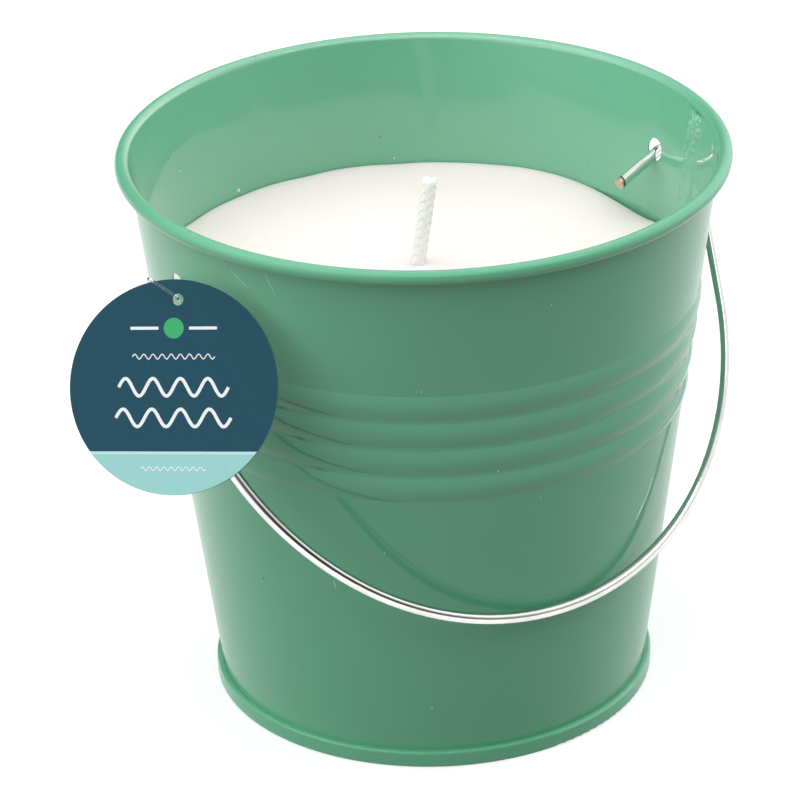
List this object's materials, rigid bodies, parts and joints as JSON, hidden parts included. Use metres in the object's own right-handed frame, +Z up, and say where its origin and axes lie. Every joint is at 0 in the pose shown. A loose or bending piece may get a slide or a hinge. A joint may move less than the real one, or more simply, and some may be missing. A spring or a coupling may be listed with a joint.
{
  "type": "candle bucket",
  "caption": "Small tapered metal pail filled with candle wax, with an upright wick, a swinging wire bail and a round card tag hung on a plastic loop.",
  "frame": {"origin": "middle of the base, in the plane that the pail stands on", "axes": "+Z up, X along the bail's hinge line with the tag on the -X side, -Y towards the side that the bail hangs down"},
  "size_m": [0.1441, 0.118, 0.1122],
  "materials": {
    "pail_paint": "glossy enamel, soft grey-green",
    "wire": "bright plated wire",
    "wax": "cast candle wax, smooth and matt",
    "braid": "waxed cotton braid",
    "wick_foot": "thin stamped metal",
    "card": "printed card in dark blue and pale teal, white back and edge",
    "clear_plastic": "clear moulded plastic"
  },
  "bodies": {
    "bucket": {"bucket_wall": "pail_paint", "bucket_base": "pail_paint", "wax_fill": "wax", "wick": "braid", "wick_sustainer": "wick_foot"},
    "bail": {"bail": "wire"},
    "tag": {"swing_tag": "card", "tag_loop": "clear_plastic"}
  },
  "joints": [
    {"name": "bail_swing", "type": "hinge", "parent": "bucket", "child": "bail", "pos_m": [0, 0, 0.09665], "axis": [-1, 0, 0], "range_deg": [0, 285.7]},
    {"name": "tag_swing", "type": "hinge", "parent": "bail", "child": "tag", "pos_m": [-0.05822, -0.00202, 0.09399], "axis": [-0.2144, -0.5898, -0.7786], "range_deg": [0, 100]}
  ],
  "couplings": [
    {"joint": "tag_swing", "follows": "bail_swing", "ratio": 0.35}
  ]
}
